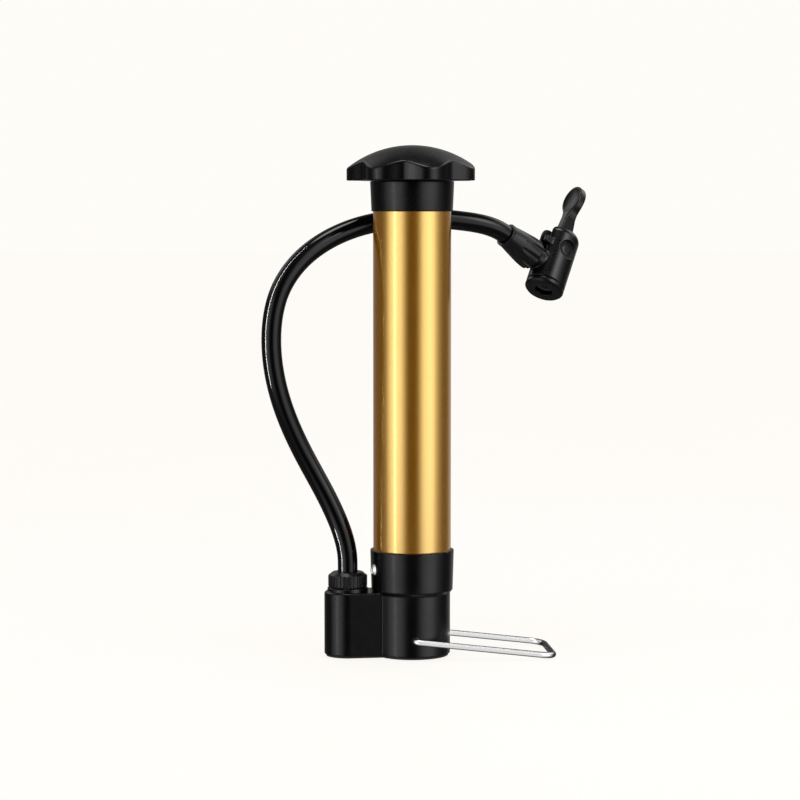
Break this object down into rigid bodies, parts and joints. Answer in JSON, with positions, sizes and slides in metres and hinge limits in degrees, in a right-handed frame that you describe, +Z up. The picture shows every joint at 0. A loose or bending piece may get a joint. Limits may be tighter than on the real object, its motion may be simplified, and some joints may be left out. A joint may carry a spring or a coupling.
{
  "type": "mini bicycle pump",
  "caption": "Small upright bicycle pump with a scalloped knob, fold-out wire foot rest and a hose with a lever-lock valve head.",
  "frame": {"origin": "centre of the base underside on the barrel axis, at floor level", "axes": "+Z up along the barrel, +X towards the fold-out foot rest, -X towards the hose union, +Y towards the side the hose passes"},
  "size_m": [0.1368, 0.0893, 0.2],
  "materials": {
    "anodised_gold": "satin anodised",
    "black_plastic": "satin moulded",
    "black_knob": "satin moulded, fine grain",
    "black_fitting": "satin black anodised",
    "hose_rubber": "gloss extruded",
    "rubber": "matte moulded",
    "clear_seal": "matte",
    "chrome_wire": "polished",
    "steel": "turned",
    "brass": "turned",
    "natural_plastic": "moulded"
  },
  "bodies": {
    "base": {"base_body": "black_plastic", "base_pad": "rubber", "barrel_tube": "anodised_gold", "barrel_seal": "rubber", "barrel_screws": "steel", "top_cap": "black_plastic", "rod_guide_bush": "natural_plastic", "check_spring": "steel", "hose_seal": "clear_seal"},
    "piston_seal": {"piston_cup": "rubber"},
    "plunger": {"piston_rod": "steel", "piston_head": "natural_plastic", "piston_washer": "steel", "piston_nut": "steel", "stroke_bumper": "rubber", "knob_insert": "brass", "handle_knob": "black_knob"},
    "foot_rest": {"foot_pedal": "chrome_wire"},
    "valve_ball": {"check_ball": "steel"},
    "union_nut": {"hose_nut": "black_fitting"},
    "hose_line": {"hose_tail": "brass", "hose": "hose_rubber"},
    "valve_head": {"hose_barb": "brass", "hose_ferrule": "black_fitting", "valve_head_body": "black_plastic", "head_cap": "black_plastic", "valve_gland": "clear_seal", "lever_pin": "steel"},
    "lever": {"thumb_lever": "black_plastic"},
    "pusher": {"gland_pusher": "natural_plastic", "pusher_seal": "rubber"}
  },
  "joints": [
    {"name": "plunger_slide", "type": "slide", "parent": "base", "child": "piston_seal", "axis": [0, 0, 1], "range_m": [0, 0.107]},
    {"name": "handle_spin", "type": "hinge", "parent": "piston_seal", "child": "plunger", "pos_m": [0, 0, 0.1], "axis": [0, 0, 1], "continuous": true},
    {"name": "foot_rest_fold", "type": "hinge", "parent": "base", "child": "foot_rest", "pos_m": [0, 0, 0.0074], "axis": [0, -1, 0], "range_deg": [0, 78]},
    {"name": "check_ball_lift", "type": "slide", "parent": "base", "child": "valve_ball", "axis": [0, 0, 1], "range_m": [0, 0.0012], "stiffness_N_per_m": 40, "springref_m": -0.001, "deforming": ["check_spring"]},
    {"name": "union_nut_turn", "type": "hinge", "parent": "base", "child": "union_nut", "pos_m": [-0.0254, 0, 0.03], "axis": [0, 0, 1], "continuous": true},
    {"name": "hose_swivel", "type": "hinge", "parent": "base", "child": "hose_line", "pos_m": [-0.0254, 0, 0.03], "axis": [0, 0, 1], "range_deg": [0, 135]},
    {"name": "hose_flex", "type": "hinge", "parent": "hose_line", "child": "valve_head", "pos_m": [-0.0219, 0.0139, 0.1676], "axis": [0, 1, 0], "range_deg": [-15, 25], "stiffness_Nm_per_rad": 1.5, "deforming": ["hose"]},
    {"name": "thumb_lever_flip", "type": "hinge", "parent": "valve_head", "child": "lever", "pos_m": [0.06316, 0.04502, 0.15693], "axis": [0.5656, -0.7911, 0.2331], "range_deg": [0, 80]},
    {"name": "gland_pusher_slide", "type": "slide", "parent": "valve_head", "child": "pusher", "axis": [0.3374, 0.4798, 0.8099], "range_m": [0, 0.001]}
  ],
  "couplings": [
    {"joint": "gland_pusher_slide", "follows": "thumb_lever_flip", "m_per_rad": 0.0007162}
  ]
}
